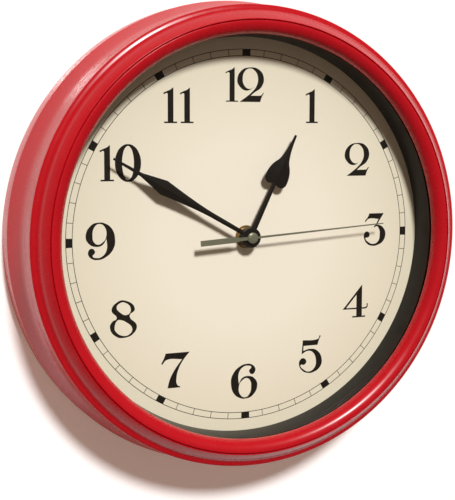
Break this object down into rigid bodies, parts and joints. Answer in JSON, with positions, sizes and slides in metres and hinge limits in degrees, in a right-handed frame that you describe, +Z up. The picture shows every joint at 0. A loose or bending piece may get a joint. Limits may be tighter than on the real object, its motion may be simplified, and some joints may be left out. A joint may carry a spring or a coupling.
{
  "type": "wall clock",
  "caption": "Round wall clock with a deep pressed case, a stepped bezel, a recessed dial, spade and lozenge hands and a battery movement with its gear train.",
  "frame": {"origin": "the hanging point: on the wall plane, at the centre of the round top of the keyhole's slot", "axes": "+X to the right as the dial is read, +Z up, and the wall plane at y = 0 with the clock standing out towards -Y"},
  "size_m": [0.3108, 0.0595, 0.3108],
  "materials": {
    "case_red": "high gloss baked enamel",
    "front_glass": "clear and polished",
    "ring_black": "semi-gloss moulded plastic",
    "dial_cream": "matte printed enamel",
    "screw_steel": "bright zinc",
    "back_black": "fine textured powder coat",
    "movement_black": "fine spark texture",
    "train_white": "natural acetal",
    "washer_rubber": "matte",
    "shaft_brass": "turned and polished",
    "train_brass": "satin",
    "hand_black": "satin black lacquer",
    "hand_grey": "satin grey lacquer",
    "magnet": "bonded magnet with a moulded pinion",
    "pole_steel": "stamped electrical steel",
    "coil_copper": "enamelled copper wire",
    "knob_white": "moulded",
    "board_green": "solder mask",
    "chip_black": "epoxy drop",
    "crystal_steel": "drawn can",
    "contact_steel": "nickel-plated spring strip",
    "battery_sleeve": "printed sleeve with no lettering"
  },
  "bodies": {
    "case_body": {"bezel": "case_red", "case_shell": "case_red", "lens": "front_glass", "spacer_ring": "ring_black", "dial": "dial_cream", "dial_screws": "screw_steel", "back_plate": "back_black", "back_screws": "screw_steel", "front_housing": "movement_black", "rear_cover": "movement_black", "train_bridge": "train_white", "rubber_washer": "washer_rubber", "shaft_washer": "shaft_brass", "shaft_nut": "shaft_brass", "stator": "pole_steel", "coil_bobbin": "train_white", "coil_winding": "coil_copper", "circuit_board": "board_green", "chip_cover": "chip_black", "quartz_crystal": "crystal_steel", "positive_contact": "contact_steel", "negative_contact": "contact_steel"},
    "minute": {"minute_wheel": "train_brass", "minute_hand": "hand_black"},
    "hour": {"hour_wheel": "train_brass", "hour_hand": "hand_black"},
    "second": {"second_wheel": "train_white", "second_hand": "hand_grey"},
    "third": {"third_wheel": "train_white"},
    "intermediate": {"intermediate_wheel": "train_white"},
    "rotor": {"rotor": "magnet"},
    "reverser": {"reverser_wheel": "train_brass"},
    "knob": {"setting_knob": "knob_white"},
    "battery": {"battery": "battery_sleeve"}
  },
  "joints": [
    {"name": "minute_turn", "type": "hinge", "parent": "case_body", "child": "minute", "pos_m": [0, -0.022, -0.118], "axis": [0, 1, 0], "continuous": true},
    {"name": "hour_turn", "type": "hinge", "parent": "case_body", "child": "hour", "pos_m": [0, -0.022, -0.118], "axis": [0, 1, 0], "continuous": true},
    {"name": "second_turn", "type": "hinge", "parent": "case_body", "child": "second", "pos_m": [0, -0.022, -0.118], "axis": [0, 1, 0], "continuous": true},
    {"name": "third_turn", "type": "hinge", "parent": "case_body", "child": "third", "pos_m": [0.00425, -0.022, -0.11064], "axis": [0, 1, 0], "continuous": true},
    {"name": "intermediate_turn", "type": "hinge", "parent": "case_body", "child": "intermediate", "pos_m": [-0.00626, -0.022, -0.11632], "axis": [0, 1, 0], "continuous": true},
    {"name": "rotor_turn", "type": "hinge", "parent": "case_body", "child": "rotor", "pos_m": [-0.01111, -0.022, -0.11352], "axis": [0, 1, 0], "continuous": true},
    {"name": "reverser_turn", "type": "hinge", "parent": "case_body", "child": "reverser", "pos_m": [0.00886, -0.022, -0.11956], "axis": [0, 1, 0], "continuous": true},
    {"name": "knob_turn", "type": "hinge", "parent": "case_body", "child": "knob", "pos_m": [0.01732, -0.022, -0.11648], "axis": [0, 1, 0], "continuous": true},
    {"name": "battery_slide", "type": "slide", "parent": "case_body", "child": "battery", "axis": [0, 1, 0], "range_m": [0, 0.03]}
  ],
  "couplings": [
    {"joint": "hour_turn", "follows": "minute_turn", "ratio": 0.083333},
    {"joint": "second_turn", "follows": "minute_turn", "ratio": 60},
    {"joint": "third_turn", "follows": "minute_turn", "ratio": -8},
    {"joint": "intermediate_turn", "follows": "minute_turn", "ratio": -300},
    {"joint": "rotor_turn", "follows": "minute_turn", "ratio": 1800},
    {"joint": "reverser_turn", "follows": "minute_turn", "ratio": -0.33333},
    {"joint": "knob_turn", "follows": "minute_turn", "ratio": 1}
  ]
}
